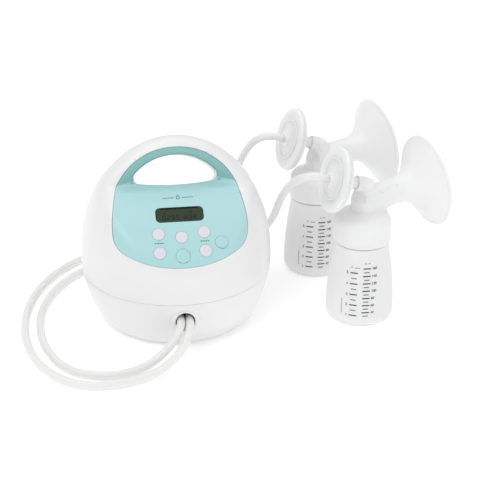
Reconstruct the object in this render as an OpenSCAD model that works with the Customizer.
// Double electric breast pump: round pump unit with carrying handle, two air
// tubes and two collection kits (shield, backflow protector, valve, bottle).
// Frame: origin on the table under the middle of the pump unit, front is -Y, +Z is up.

/* [Pump unit] */
// Largest radius of the round body
body_r = 88; // [84:0.5:92]
// Height of the widest level above the table
body_wide_z = 62; // [60:0.5:64]
// Height from the widest level to the top of the handle
body_up = 113.5; // [112:0.5:115]
// Vertical semi-axis of the lower half
body_down = 98; // [96:0.5:100]
// Height of the seam between base and upper housing
seam_z = 50; // [48:1:51]
// Wall thickness of the shells
wall = 2.6; // [2.2:0.1:2.8]
// Half depth of the handle
handle_half = 16; // [15:0.5:17]
// Radius of the curved front lap that carries the buttons
lap_r = 170; // [169:0.5:171]

/* [Controls] */
// Diameter of the white buttons
button_d = 11.3; // [10.5:0.1:12]
// Button travel
button_travel = 1.1; // [0.8:0.1:1.1]
// How far a button stands proud of the panel
button_proud = 0.9; // [0.6:0.1:1.2]
// Width of the display window
lcd_w = 42.5; // [40:0.5:44]
// Height of the display window
lcd_h = 15.5; // [14:0.5:16]

/* [Air line] */
// Outer diameter of an air tube
tube_od = 7.5; // [7:0.1:7.6]
// Inner diameter of an air tube
tube_id = 4.6; // [4.4:0.1:5]
// Height of the tube port on the front
port_z = 33; // [32:1:34]

/* [Collection kits] */
// Widest radius of a bottle
bottle_r = 31.3; // [30.5:0.1:32]
// Outer radius of the breast shield rim
rim_r = 42.5; // [40:0.5:44]
// Rise of the shield tunnel in degrees
tunnel_rise = 7; // [6:0.5:8]
// Radius of the backflow protector disc
disc_r = 30; // [29:0.5:31]
// Turn of each kit about the vertical in degrees
kit_yaw = 17; // [15:1:19]

/* [Hidden] */
$fn = 64;

// Colours
shell_white = [0.93, 0.93, 0.93];
mint = [0.70, 0.88, 0.88];
clear_plastic = [0.86, 0.87, 0.88];
silicone = [0.92, 0.92, 0.90];
steel = [0.70, 0.71, 0.73];
dark = [0.20, 0.21, 0.22];

gap = 0.1;              // gap between parts that are assembled by hand
foot_h = 1.8;           // height of the base above the table
base_floor = 3;         // thickness of the base floor
all_r = 200;            // reach of cutting bodies
port_x = 3.9;           // half distance between the two tubes at the port
port_face_y = -84;      // front of the port
ring_y = -84.1;         // back of the port ring's flange
ring_r = 13;            // radius of the port ring's flange
ring_t = 2.4;           // thickness of the port ring's flange

// Lap: circle in the Y-Z plane whose upper front stretch is the button panel
lap_c = [47, -21.9];
lap_start = 39.37;      // angle of the panel's lower edge on the lap circle
rear_c = [-123.6, -123.6];  // circle of the rear slope
rear_r = 280;
hole_at = [0, -15, 149.5];  // middle of the handle's opening at its front
hole_tilt = 22.5;           // fall of the opening towards the rear, in degrees

// Upper part of the body: depth of the handle at its foot and at its top
handle_foot = [handle_half + 1.6, 128];
handle_top = [handle_half - 1.6, 180];

// Button places on the lap: [x, distance along the lap from its lower edge]
up_x = 20;
row_up = 31.4;
row_mid = 27.5;
row_down = 13.9;
row_power = 10.1;
light_place = [34.5, 21.2];
lcd_s = 50.5;
board_s = 21;           // where the circuit board is parallel to the lap
board_depth = 12;
board_t = 1.6;
switch_h = 2.5;         // height of a tact switch on the board
boss_r = 2.6;           // radius of the screw bosses behind the panel
boss_places = [[-30, 10.5], [30, 10.5], [-30, 56], [30, 56]];
button_places = [[-up_x, row_up], [-up_x, row_down], [up_x, row_up],
    [up_x, row_down], [0, row_mid], [0, row_power], light_place];

// ---------- shared shapes ----------

// Radius of the body at an angle from the widest level, as a profile point
function body_point(a, t) = a > 0
    ? [(body_r - t) * cos(a), body_wide_z + (body_up - t) * sin(a)]
    : [(body_r - t) * cos(a), body_wide_z + (body_down - t) * sin(a)];

// Body radius at height z for the lower half
function low_r(z, t) = (body_r - t) * sqrt(1 - pow((z - body_wide_z) / (body_down - t), 2));

// Points of an arc
function arc(c, r, a0, a1, n = 10) =
    [for (i = [0:n]) c + r * [cos(a0 + (a1 - a0) * i / n), sin(a0 + (a1 - a0) * i / n)]];

// Two crossing circles with rounded corners, a dome over a sagging base
module rounded_lens(rt, zt, rb, zb, rc, t = 0) {
    a = rt - rc;
    b = rb - rc;
    h = zb - zt;
    kz = zt + (a * a - b * b + h * h) / (2 * h);
    kx = sqrt(a * a - pow(kz - zt, 2));
    p = [kx, kz - zt] * (rt + t) / a + [0, zt];
    q = [kx, kz - zb] * (rb + t) / b + [0, zb];
    difference() {
        intersection() {
            translate([0, zt]) circle(rt + t);
            translate([0, zb]) circle(rb + t);
        }
        for (s = [-1, 1]) scale([s, 1])
            polygon([p, q, [q[0] + 2 * rt, q[1]], [p[0] + 2 * rt, p[1] + rc]]);
    }
    for (s = [-1, 1]) translate([s * kx, kz]) circle(rc + t);
}

module panel_outline(t = 0) rounded_lens(59.4, 110.1, 156, 241, 14, t);

// Extrudes an X-Z outline along Y, or a Y-Z outline along X
module along_y(y0, y1) translate([0, y1, 0]) rotate([90, 0, 0]) linear_extrude(y1 - y0) children();
// Opening under the handle, grown by t; it falls towards the rear
module handle_hole(t = 0) translate(hole_at) rotate([-hole_tilt, 0, 0])
    along_y(-60, 110) rounded_lens(49.8, -37, 250.4, 236.5, 5.5, t);
module along_x(w) rotate([90, 0, 90]) translate([0, 0, -w / 2]) linear_extrude(w) children();

// Side section of the body between the front lap and the rear scoop
module lap_section(t) intersection() {
    translate(lap_c) circle(lap_r - t, $fn = 180);
    translate(rear_c) circle(rear_r - t, $fn = 180);
}

// Side section of the handle
module handle_section(t) polygon([[-handle_foot[0] + t, handle_foot[1]],
    [-handle_top[0] + t, handle_top[1]], [handle_top[0] - t, handle_top[1]],
    [handle_foot[0] - t, handle_foot[1]]]);

// Solid of the upper housing, shrunk by t, from height z0 upward
module upper_solid(t, z0) {
    intersection() {
        rotate_extrude($fn = 96) polygon(concat([[0, z0]],
            [for (z = [z0:4:body_wide_z - 1]) [low_r(z, t), z]],
            [for (a = [0:5:85]) body_point(a, t)], [[0, body_wide_z + body_up - t]]));
        union() {
            along_x(2 * all_r) lap_section(t);
            along_x(2 * all_r) handle_section(t);
        }
    }
}

// Places children on the lap, with +Z out of the panel
module on_lap(x, s) {
    a = lap_start + s / lap_r * 180 / PI;
    translate([x, lap_c[0] - lap_r * cos(a), lap_c[1] + lap_r * sin(a)])
        rotate([90 - a, 0, 0]) children();
}

module on_board(x, s) on_lap(0, board_s) translate([x, s - board_s, -board_depth]) children();

module ring(ro, ri, h) difference() {
    cylinder(r = ro, h = h);
    translate([0, 0, -1]) cylinder(r = ri, h = h + 2);
}

module rounded_rect(w, h, r) {
    square([w - 2 * r, h], center = true);
    square([w, h - 2 * r], center = true);
    for (x = [-1, 1], y = [-1, 1]) translate([x * (w / 2 - r), y * (h / 2 - r)]) circle(r);
}

module at_four(x, y, z) for (i = [-1, 1], j = [-1, 1]) translate([i * x, j * y, z]) children();

// ---------- pump unit shells ----------

screw_x = 46;
screw_y = 40;
foot_x = 24;
foot_y = 50;
post_r = 4;
lip_h = 3;
tunnel_split = -8;      // depth at which panel and housing share the handle's tunnel

module screw_posts() {
    intersection() {
        union() {
            at_four(screw_x, screw_y, seam_z - 4) cylinder(r = post_r, h = 44);
            for (i = [-1, 1], j = [-1, 1]) rotate([0, 0, atan2(j * screw_y, i * screw_x)])
                translate([norm([screw_x, screw_y]), -1, seam_z + lip_h + 2]) cube([30, 2, 35]);
        }
        upper_solid(wall / 2, seam_z - 5);
    }
}

module upper_housing() color(shell_white) difference() {
    union() {
        difference() {
            upper_solid(0, seam_z);
            // hollow inside, but for the rear part of the handle's tunnel
            difference() {
                upper_solid(wall, seam_z - 5);
                intersection() {
                    handle_hole(wall);
                    translate([-all_r, tunnel_split, 0]) cube([2 * all_r, all_r, all_r]);
                }
            }
            // opening that the control panel fills
            along_y(-120, tunnel_split) panel_outline(gap);
        }
        // ledge that the panel rests on
        difference() {
            intersection() {
                upper_solid(wall, seam_z);
                along_y(-120, tunnel_split - 2) difference() {
                    panel_outline(2);
                    panel_outline(-2.5);
                }
            }
            upper_solid(wall + 1.6, seam_z - 5);
        }
        screw_posts();
    }
    handle_hole();
    at_four(screw_x, screw_y, seam_z - 10) cylinder(r = 1.55, h = 30);
    // room in the ledge for the skirts of the buttons and the panel's screw bosses
    for (i = [0:6]) on_lap(button_places[i][0], button_places[i][1])
        translate([0, 0, -9]) cylinder(d = button_dia(i) + 3, h = 9 - wall);
    for (p = boss_places) on_board(p[0], p[1]) cylinder(r = boss_r + 2 * gap, h = 20);
}

module control_panel() color(mint) difference() {
    intersection() {
        along_y(-120, tunnel_split - gap) panel_outline();
        upper_solid(0, seam_z);
    }
    // everything behind the panel but its tunnel and screw bosses
    difference() {
        upper_solid(wall, seam_z - 5);
        handle_hole(wall);
        for (p = boss_places) on_board(p[0], p[1]) cylinder(r = boss_r, h = 20);
    }
    handle_hole();
    for (i = [0:6]) on_lap(button_places[i][0], button_places[i][1])
        translate([0, 0, -6]) cylinder(d = button_dia(i), h = 12);
    on_lap(0, lcd_s) translate([0, 0, -12]) linear_extrude(20) rounded_rect(lcd_w, lcd_h, 4.5);
    for (p = boss_places) on_board(p[0], p[1]) translate([0, 0, -1]) cylinder(r = 0.95, h = 6);
}

// Base shell with its floor and the locating lip inside the seam
base_levels = [for (i = [0:11]) foot_h + (seam_z - foot_h) * i / 11];
lip_r = low_r(seam_z, wall) - gap;
lip_t = 1.7;

module base_shell() rotate_extrude($fn = 96) polygon(concat([[0, foot_h]],
    [for (z = base_levels) [low_r(z, 0), z]], [[lip_r, seam_z], [lip_r, seam_z + lip_h],
        [lip_r - lip_t, seam_z + lip_h], [lip_r - lip_t, seam_z - 6], [low_r(seam_z - 9, wall), seam_z - 9]],
    [for (i = [8:-1:1]) [low_r(base_levels[i], wall), base_levels[i] ]],
    [[low_r(foot_h + base_floor, wall), foot_h + base_floor], [0, foot_h + base_floor]]));

// Filled outline of the base, shrunk by t
module base_solid(t) rotate_extrude($fn = 96) polygon(concat([[0, foot_h]],
    [for (z = base_levels) [low_r(z, 0) - t, z]], [[0, seam_z]]));

module base_housing() color(shell_white) difference() {
    union() {
        difference() {
            base_shell();
            at_four(screw_x, screw_y, seam_z - 4) cylinder(r = post_r + 1, h = 20);
        }
        at_four(screw_x, screw_y, foot_h + 1) cylinder(r = post_r + 0.8, h = seam_z - 4 - foot_h - 1);
        // boss that carries the port cup
        intersection() {
            translate([0, -70, port_z]) rotate([90, 0, 0]) cylinder(r = 14, h = 20);
            base_solid(1);
        }
        // rib that keeps the battery off the motor
        translate([-38, 29, foot_h + 1]) cube([54, 2, 16]);
    }
    at_four(screw_x, screw_y, -1) cylinder(r = 1.8, h = 60);
    at_four(screw_x, screw_y, -1) cylinder(r = 3.4, h = 37);
    at_four(foot_x, foot_y, -1) cylinder(r = 6.1, h = foot_h + 2.2);
    translate([0, 0, port_z]) rotate([90, 0, 0]) cylinder(r = 11.6, h = 120);
    // seat of the port ring's flange
    translate([0, ring_y + gap, port_z]) rotate([90, 0, 0]) cylinder(r = ring_r + gap, h = 20);
    translate([jack_x, 51.5, jack_z]) rotate([-90, 0, 0]) cylinder(r = 5.6, h = 40);
}

module rubber_feet() color(dark) at_four(foot_x, foot_y, 0) cylinder(r = 6, h = foot_h + 1.2);

module screw(r, head_r, head_h, length) {
    cylinder(r = head_r, h = head_h);
    translate([0, 0, head_h - 0.01]) cylinder(r = r, h = length + 0.01);
}

module housing_screws() color(steel) at_four(screw_x, screw_y, 33.8) difference() {
    screw(1.5, 2.9, 2.1, 19);
    translate([0, 0, -1]) cylinder(r = 1.2, h = 2, $fn = 6);
}

// ---------- controls ----------

function button_dia(i) = i == 5 ? 12.8 : i == 6 ? 11.6 : button_d;

module button(i) on_lap(button_places[i][0], button_places[i][1]) {
    d = button_dia(i) - 2 * gap;
    stem = button_travel + 0.5 + switch_h - board_depth;
    rotate_extrude() polygon(concat([[0, stem], [2, stem], [2, -5], [d / 2 + 1, -5],
        [d / 2 + 1, -4], [d / 2, -4]], arc([d / 2 - 0.8, button_proud - 0.8], 0.8, 0, 90, 4),
        [[0, button_proud]]));
}

module button_cycle_up() color(shell_white) button(0);
module button_cycle_down() color(shell_white) button(1);
module button_vacuum_up() color(shell_white) button(2);
module button_vacuum_down() color(shell_white) button(3);
module button_mode() color(shell_white) button(4);
module button_power() color(mint) button(5);
module button_light() color(mint) button(6);

module lcd_window() color([0.25, 0.29, 0.24]) on_lap(0, lcd_s) translate([0, 0, -2.2])
    linear_extrude(1.8) rounded_rect(lcd_w - 2 * gap, lcd_h - 2 * gap, 4.4);

module lcd_module() color(dark) on_lap(0, lcd_s) translate([0, 0, -6.6])
    linear_extrude(3.4) rounded_rect(lcd_w + 4, lcd_h + 5, 1);

module control_board() color([0.1, 0.4, 0.25]) on_board(0, board_s) difference() {
    translate([0, 0, -board_t]) linear_extrude(board_t) polygon([[-20, -17], [20, -17],
        [40, -7], [40, 39], [-40, 39], [-40, -7]]);
    for (p = boss_places) translate([p[0], p[1] - board_s, -5]) cylinder(r = 1.2, h = 10);
}

module tact_switches() color(dark) for (p = button_places) on_board(p[0], p[1]) {
    translate([-3, -3, 0]) cube([6, 6, 1.6]);
    translate([0, 0, 1.5]) cylinder(r = 1.7, h = switch_h - 1.5);
}

module board_screws() color(steel) for (p = boss_places) on_board(p[0], p[1])
    translate([0, 0, -board_t - 1.2]) screw(0.9, 1.9, 1.2, 5);

// ---------- air port ----------

nipple_r = 2.25;
cup_y = port_face_y + 12;

module port_ring() color(shell_white) translate([0, ring_y - ring_t, port_z]) rotate([-90, 0, 0])
    difference() {
        union() {
            cylinder(r = ring_r, h = ring_t);
            cylinder(r = 11.5, h = 8);
        }
        translate([0, 0, -1]) cylinder(r = 8.6, h = 12);
    }

module port_manifold() color(dark) translate([0, cup_y, port_z]) rotate([90, 0, 0]) difference() {
    union() {
        cylinder(r = 11.4, h = 2);
        ring(11.4, 9, 6);
        for (x = [-1, 1]) translate([x * port_x, 0, 0]) cylinder(r = nipple_r, h = 11);
        translate([0, 0, -10]) cylinder(r = 3.2, h = 10.5);
    }
    for (x = [-1, 1]) translate([x * port_x, 0, 1]) cylinder(r = 1.3, h = 12);
    translate([0, 0, -11]) cylinder(r = 2, h = 12.2);
    translate([0, 0, 0.2]) cube([2 * port_x, 2, 1.6], center = true);
}

// ---------- flexible tubes ----------

tube_sides = 12;
steps_per_span = 4;

function unit(v) = v / norm(v);

// Point of a smooth curve (uniform cubic B-spline) at f of a span
function span_point(p, i, f) = (pow(1 - f, 3) * p[i] + (3 * pow(f, 3) - 6 * f * f + 4) * p[i + 1]
    + (-3 * pow(f, 3) + 3 * f * f + 3 * f + 1) * p[i + 2] + pow(f, 3) * p[i + 3]) / 6;

// Curve that runs straight from a to b, follows the points between, then runs straight to the end.
// lead is how stiffly the curve leaves and enters the straight ends.
function tube_curve(a, b, via, c, d, lead) = let (u = unit(b - a) * lead, w = unit(d - c) * lead,
    q = concat([b - u, b, b + u], via, [c - w, c, c + w]), n = len(q) - 3)
    concat([a], [for (i = [0:n - 1], k = [0:steps_per_span - 1]) span_point(q, i, k / steps_per_span)],
        [c, d]);

// Hollow tube with flat ends along a curve that is never vertical
module hollow_tube(c, ro, ri) {
    n = len(c) - 1;
    m = tube_sides;
    pts = [for (r = [ro, ri / cos(180 / m)], i = [0:n])
        let (t = unit(c[min(i + 1, n)] - c[max(i - 1, 0)]), x = unit(cross([0, 0, 1], t)), y = cross(t, x))
        for (k = [0:m - 1]) c[i] + r * (x * cos(360 * k / m) + y * sin(360 * k / m))];
    inner = (n + 1) * m;
    function at(i, k) = i * m + k % m;
    outside = [for (i = [0:n - 1], k = [0:m - 1]) [at(i, k + 1), at(i, k), at(i + 1, k), at(i + 1, k + 1)]];
    inside = [for (f = outside) [inner + f[3], inner + f[2], inner + f[1], inner + f[0]]];
    start = [for (k = [0:m - 1]) [at(0, k), at(0, k + 1), inner + at(0, k + 1), inner + at(0, k)]];
    end = [for (k = [0:m - 1]) [at(n, k + 1), at(n, k), inner + at(n, k), inner + at(n, k + 1)]];
    polyhedron(pts, concat(outside, inside, start, end));
}

// ---------- vacuum unit inside ----------

motor_y = 8;
motor_z = 32;
cam_x = 8;
cam_off = 2;
cam_r = 7;
stroke = 2;
head_z = 62;

module motor_can() color(steel) difference() {
    union() {
        translate([22, motor_y, motor_z]) rotate([0, 90, 0]) cylinder(r = 13.8, h = 42);
        translate([19, motor_y, motor_z]) rotate([0, 90, 0]) cylinder(r = 5, h = 4);
        translate([63, motor_y, motor_z]) rotate([0, 90, 0]) cylinder(r = 4, h = 4);
    }
    translate([18, motor_y, motor_z]) rotate([0, 90, 0]) cylinder(r = 1.55, h = 44);
}

module motor_shaft() color(steel) translate([2, motor_y, motor_z]) rotate([0, 90, 0])
    cylinder(r = 1.5, h = 55);

module eccentric_cam() color([0.85, 0.8, 0.6]) translate([cam_x - 3, motor_y, motor_z])
    rotate([0, 90, 0]) difference() {
        union() {
            translate([-cam_off, 0, 0]) cylinder(r = cam_r, h = 6);
            cylinder(r = 3.5, h = 9);
        }
        translate([0, 0, -1]) cylinder(r = 1.5, h = 12);
    }

module pump_crankcase() color(dark) difference() {
    translate([-12, motor_y - 21, foot_h + base_floor])
        cube([31, 42, head_z - 6 - foot_h - base_floor]);
    translate([-9, motor_y - 18, foot_h + base_floor - 1]) cube([25, 36, head_z - 9 - foot_h - base_floor + 1]);
    translate([-20, motor_y, motor_z]) rotate([0, 90, 0]) cylinder(r = 5.1, h = 50);
    translate([3.5, motor_y, head_z - 20]) cylinder(r = 15, h = 30);
}

module diaphragm_rod() color([0.85, 0.85, 0.8]) {
    difference() {
        union() {
            translate([cam_x - 2.5, motor_y, motor_z]) rotate([0, 90, 0]) cylinder(r = 14, h = 5);
            translate([cam_x - 2.5, motor_y - 4, motor_z + 12]) cube([5, 8, head_z - motor_z - 14.5]);
            translate([3.5, motor_y, head_z - 4]) cylinder(r = 9, h = 3.5);
        }
        translate([cam_x - 4, motor_y, motor_z]) rotate([0, 90, 0])
            cylinder(r = cam_r + cam_off + stroke + 0.4, h = 8);
    }
}

module diaphragm() color(silicone) translate([3.5, motor_y, head_z - 0.5]) cylinder(r = 12.5, h = 1.2);

module head_cover() color(dark) difference() {
    union() {
        translate([-12, motor_y - 21, head_z - 6]) cube([31, 42, 15]);
        translate([3.5, motor_y - 20, head_z + 6]) rotate([90, 0, 0]) cylinder(r = 3, h = 11);
    }
    translate([3.5, motor_y, head_z - 7]) cylinder(r = 13.2, h = 11);
    translate([3.5, motor_y - 8, head_z + 6]) rotate([90, 0, 0]) cylinder(r = 1.6, h = 30);
    translate([3.5, motor_y - 8, head_z + 1]) cylinder(r = 1.6, h = 6);
    for (j = [-1, 1], i = [-9.5, 16.5]) translate([i, motor_y + j * 18.5, head_z - 7])
        cylinder(r = 1.25, h = 30);
}

module head_screws() color(steel) for (j = [-1, 1], i = [-9.5, 16.5])
    translate([i, motor_y + j * 18.5, head_z + 9 + 1.2]) rotate([180, 0, 0]) screw(1.2, 2.2, 1.2, 14.5);

module motor_mounts() color([0.3, 0.3, 0.32]) for (x = [28, 50]) difference() {
    translate([x, motor_y - 16, foot_h + base_floor]) cube([6, 32, motor_z - foot_h - base_floor]);
    translate([x - 1, motor_y, motor_z]) rotate([0, 90, 0]) cylinder(r = 13.9, h = 8);
}

hose_curve = tube_curve([3.5, motor_y - 21.5, head_z + 6], [3.5, motor_y - 31, head_z + 6],
    [[3, -38, head_z - 4], [1, -38, port_z + 10]], [0, -52, port_z], [0, -61, port_z], 8);

module vacuum_hose() color(silicone) hollow_tube(hose_curve, 4.6, 3.3);

coil_at = [-42, 10, foot_h + base_floor];

module valve_coil() color([0.5, 0.3, 0.15]) translate(coil_at) difference() {
    union() {
        cylinder(r = 9, h = 2);
        cylinder(r = 8, h = 22);
        translate([0, 0, 20]) cylinder(r = 9, h = 2);
    }
    translate([0, 0, 3]) cylinder(r = 3.05, h = 30);
}

module valve_plunger() color(steel) translate(coil_at + [0, 0, 5.5]) {
    cylinder(r = 3, h = 23);
    translate([0, 0, 23]) cylinder(r = 5, h = 2);
}

// Coil spring between the coil and the plunger's head
spring_r = 4.4;
wire_r = 0.35;
turns = 4;
spring_steps = 64;
spring_sides = 8;

module valve_spring() color(steel) translate(coil_at + [0, 0, 22.5]) {
    pts = [for (i = [0:spring_steps], k = [0:spring_sides - 1])
        let (a = 360 * turns * i / spring_steps, b = 360 * k / spring_sides,
            q = spring_r + wire_r * cos(b))
        [q * cos(a), q * sin(a), 5.2 * i / spring_steps + wire_r * sin(b)]];
    sides = [for (i = [0:spring_steps - 1], k = [0:spring_sides - 1])
        let (k1 = (k + 1) % spring_sides, p = i * spring_sides)
        [p + k, p + k + spring_sides, p + k1 + spring_sides, p + k1]];
    cap0 = [for (k = [0:spring_sides - 1]) k];
    cap1 = [for (k = [spring_sides - 1:-1:0]) spring_steps * spring_sides + k];
    polyhedron(pts, concat(sides, [cap0, cap1]));
}

cell_r = 9.2;
cell_l = 65;
cell_y = 42;

module battery_pack() color([0.2, 0.35, 0.6]) translate([-40, cell_y, foot_h + base_floor + cell_r]) {
    for (z = [0, 2 * cell_r]) translate([0, 0, z]) rotate([0, 90, 0]) cylinder(r = cell_r, h = cell_l);
    translate([0, -cell_r, 0]) cube([cell_l, 2 * cell_r, 2 * cell_r]);
}

jack_x = 48;
jack_z = 24;

module dc_jack() color(dark) translate([jack_x, 56, jack_z]) rotate([-90, 0, 0]) difference() {
    union() {
        translate([0, 0, -4.5]) cylinder(r = 5.5, h = 17);
        translate([-5.5, -5.5, -10.5]) cube([11, 11, 6.5]);
    }
    translate([0, 0, 2]) ring(3, 0.9, 12);
}

// ---------- collection kits ----------

kit_at = [[169.3, -29.5, 0], [146.7, 75.3, 0]];
tunnel_z = 115.5;
tunnel_r = 12.5;
bore_r = 11;
funnel_start = 44;
rim_at = 67;
turret_r = 8;
neck_at = [-6.4, 0, 133.5];
neck_rise = 16;
neck_yaw = -7;
neck_r = 5.3;
disc_back = 17;
disc_seam = 22.6;
disc_front = 29.5;
skirt_low = 77.5;
skirt_r = 26.3;
seat_z = 96.1;

module place_kit(k) translate(kit_at[k]) rotate([0, 0, kit_yaw]) children();
module on_tunnel() translate([0, 0, tunnel_z]) rotate([0, 90 - tunnel_rise, 0]) children();
module on_neck() translate(neck_at) rotate([0, 0, neck_yaw]) rotate([0, neck_rise - 90, 0]) children();

// Funnel radius along the tunnel, from the tunnel's mouth to the rim
function flare(l, r0, r1) = r0 + (r1 - r0) * (l - funnel_start) / (rim_at - funnel_start);

module breast_shield() color(clear_plastic) difference() {
    union() {
        on_tunnel() rotate_extrude() polygon(concat(arc([tunnel_r - 6, -1.5], 6, -90, 0, 6),
            [[tunnel_r, funnel_start - 3], [tunnel_r + 1.2, funnel_start], [flare(rim_at - 3, tunnel_r, rim_r), rim_at - 3],
                [rim_r, rim_at - 0.6], [rim_r, rim_at + 1], [0, rim_at + 1], [0, -7.5]]));
        rotate_extrude() polygon(concat([[0, skirt_low], [skirt_r, skirt_low]],
            arc([skirt_r - 9, 95.5], 9, 0, 60, 6), [[11, 107.5], [9.5, tunnel_z], [0, tunnel_z]]));
        translate([0, 0, tunnel_z - 10]) cylinder(r = turret_r, h = neck_at[2] - tunnel_z + 12);
        on_neck() translate([0, 0, -8]) cylinder(r = neck_r + 1.7, h = 10);
    }
    // inside of the funnel and tunnel
    on_tunnel() rotate_extrude() polygon(concat([[0, -5], [bore_r - 4, -5], [bore_r, -1]],
        [[bore_r, funnel_start - 1.5], [bore_r + 1.5, funnel_start + 1.5],
            [rim_r - 2.4, rim_at + 0.4], [rim_r - 1.6, rim_at + 3], [0, rim_at + 3]]));
    // inside of the screw collar, around the drain spigot
    difference() {
        rotate_extrude() polygon([[0, skirt_low - 1], [22.9, skirt_low - 1], [22.9, seat_z],
            [18.5, seat_z], [12, 102], [0, 102]]);
        translate([0, 0, 88]) cylinder(r = 7, h = 20);
    }
    translate([0, 0, 80]) cylinder(r = 5.5, h = tunnel_z - 80);
    // socket of the backflow protector and its air passage
    on_neck() translate([0, 0, -6]) cylinder(r = neck_r + 0.05, h = 12);
    translate([-2, 0, tunnel_z]) cylinder(r = 3, h = neck_at[2] - tunnel_z);
}

module duckbill_valve() color(silicone) difference() {
    union() {
        translate([0, 0, 86]) cylinder(r = 9.2, h = 9);
        translate([0, 0, 70]) cylinder(r1 = 4.5, r2 = 9.2, h = 16.01);
    }
    translate([0, 0, 86]) cylinder(r = 7.05, h = 10);
    translate([0, 0, 72]) cylinder(r1 = 2.8, r2 = 7.05, h = 14.01);
    translate([-2.5, -0.2, 69]) cube([5, 0.4, 6]);
}

module backflow_housing() color(clear_plastic) on_neck() difference() {
    rotate_extrude() polygon(concat([[0, -5.5], [neck_r, -5.5], [neck_r, disc_back],
        [disc_r - 4, disc_back + 2.4]], arc([disc_r - 2.2, disc_back + 4.6], 2.2, -60, 0, 4),
        [[disc_r, disc_seam], [0, disc_seam]]));
    rotate_extrude() polygon([[0, disc_back + 1.6], [disc_r - 4.6, disc_back + 4.1],
        [disc_r - 1.8, disc_seam - membrane_travel - 0.4], [disc_r - 1.8, disc_seam + 1],
        [0, disc_seam + 1]]);
    translate([0, 0, -7]) cylinder(r = 3.4, h = 30);
}

membrane_t = 1;
membrane_travel = 0.8;

module backflow_membrane() color(silicone) on_neck() translate([0, 0, disc_seam])
    rotate_extrude() polygon([[0, -0.4], [8, -0.4], [10, 0], [disc_r - 2.4, 0], [disc_r - 2.4, membrane_t],
        [9.6, membrane_t], [7.6, membrane_t - 0.4], [0, membrane_t - 0.4]]);

module backflow_cap() color(clear_plastic) on_neck() difference() {
    union() {
        rotate_extrude() polygon(concat([[0, disc_seam + gap], [disc_r, disc_seam + gap]],
            arc([disc_r - 2.5, disc_seam + 1.6], 2.5, 0, 60, 4), [[8, disc_front - 0.6], [0, disc_front]]));
        translate([0, 0, disc_front - 2]) cylinder(r = nipple_r + 1.6, h = 2.9);
        translate([0, 0, disc_front - 2]) cylinder(r = nipple_r, h = 11);
    }
    rotate_extrude() polygon([[0, disc_seam - 1], [disc_r - 1.8, disc_seam - 1],
        [disc_r - 1.8, disc_seam + membrane_t + membrane_travel + 0.2],
        [7, disc_front - 2.2], [0, disc_front - 1.8]]);
    translate([0, 0, disc_front - 4]) cylinder(r = 1.3, h = 20);
}

module bottle() color(clear_plastic) {
    outer = concat([[0, 0.8], [20, 0.8], [21.5, 0]], arc([bottle_r - 7, 7], 7, -90, 0, 6),
        [[bottle_r, 16], [29.7, 41], [27.6, 58], [25.5, 72], [24.4, 75.4], [21, 76.4], [21, 96]]);
    inner = concat([[0, 2.6], [22, 2]], arc([bottle_r - 7.6, 8.6], 6, -80, 0, 6),
        [[bottle_r - 1.6, 16], [28.1, 41], [26, 58], [23.9, 71.5], [19, 75.4], [19, 97], [0, 97]]);
    difference() {
        rotate_extrude() polygon(concat(outer, [[0, 96]]));
        rotate_extrude() polygon(inner);
    }
    // thread beads
    for (z = [84, 89.5]) translate([0, 0, z]) rotate_extrude()
        polygon([[20.5, -1.2], [22.3, -0.4], [22.3, 0.4], [20.5, 1.2]]);
}

// Places of the tube ends on the backflow caps
function kit_point(k, u, v, z) = kit_at[k] +
    [u * cos(kit_yaw) - v * sin(kit_yaw), u * sin(kit_yaw) + v * cos(kit_yaw), z];
function neck_point(k, t) = kit_point(k, neck_at[0] - t * cos(neck_rise) * cos(neck_yaw),
    -t * cos(neck_rise) * sin(neck_yaw), neck_at[2] + t * sin(neck_rise));
tube_end_t = disc_front + 1;
ground = tube_od / 2;
port_grip = 9;          // length of tube pushed onto a port nipple
cap_grip = 8;           // length of tube pushed onto a cap nipple
stiff = 9;              // how stiffly a tube leaves its nipples

module air_tube(k, x, via) hollow_tube(tube_curve([x, cup_y - 2.5, port_z],
    [x, cup_y - 2.5 - port_grip, port_z], via, neck_point(k, tube_end_t + cap_grip),
    neck_point(k, tube_end_t), stiff), tube_od / 2, tube_id / 2);

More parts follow.
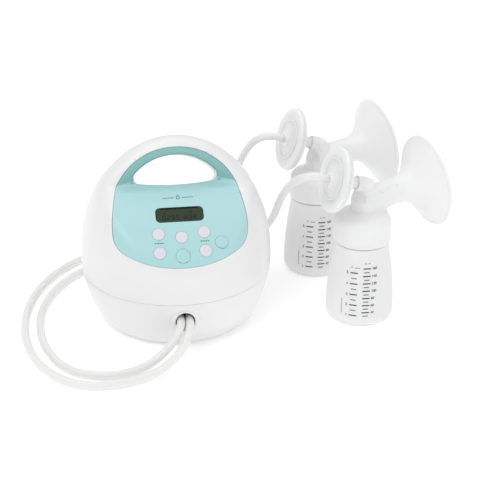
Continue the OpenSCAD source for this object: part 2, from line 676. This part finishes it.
// Guide points of the two tubes, from the port round the left side to the kits
tube_1_via = [[-12, -102, 21], [-34, -110, ground], [-64, -122, ground], [-98, -115, ground],
    [-121, -82, ground], [-131, -30, ground], [-127, 16, ground], [-112, 58, ground],
    [-78, 98, ground], [-20, 118, ground], [44, 120, ground], [86, 102, 16], [103, 70, 56],
    [99, 24, 92], [101, -8, 122], [108, -30, 140]];
tube_2_via = [[-1, -107, 20], [-26, -123, ground], [-62, -137, ground], [-100, -134, ground],
    [-132, -97, ground], [-145, -40, ground], [-142, 16, ground], [-126, 68, ground],
    [-90, 116, ground], [-36, 142, ground], [24, 142, 4.5], [58, 124, 50], [74, 98, 112],
    [82, 72, 140]];

module tube_1() color(silicone) air_tube(0, -port_x, tube_1_via);
module tube_2() color(silicone) air_tube(1, port_x, tube_2_via);

module breast_shield_1() place_kit(0) breast_shield();
module duckbill_valve_1() place_kit(0) duckbill_valve();
module backflow_housing_1() place_kit(0) backflow_housing();
module backflow_membrane_1() place_kit(0) backflow_membrane();
module backflow_cap_1() place_kit(0) backflow_cap();
module bottle_1() place_kit(0) bottle();
module breast_shield_2() place_kit(1) breast_shield();
module duckbill_valve_2() place_kit(1) duckbill_valve();
module backflow_housing_2() place_kit(1) backflow_housing();
module backflow_membrane_2() place_kit(1) backflow_membrane();
module backflow_cap_2() place_kit(1) backflow_cap();
module bottle_2() place_kit(1) bottle();

upper_housing();
control_panel();
base_housing();
rubber_feet();
housing_screws();
lcd_window();
lcd_module();
button_cycle_up();
button_cycle_down();
button_vacuum_up();
button_vacuum_down();
button_mode();
button_power();
button_light();
control_board();
tact_switches();
board_screws();
port_ring();
port_manifold();
vacuum_hose();
motor_can();
motor_shaft();
eccentric_cam();
pump_crankcase();
diaphragm();
diaphragm_rod();
head_cover();
head_screws();
motor_mounts();
valve_coil();
valve_plunger();
valve_spring();
battery_pack();
dc_jack();
breast_shield_1();
duckbill_valve_1();
backflow_housing_1();
backflow_membrane_1();
backflow_cap_1();
bottle_1();
tube_1();
breast_shield_2();
duckbill_valve_2();
backflow_housing_2();
backflow_membrane_2();
backflow_cap_2();
bottle_2();
tube_2();
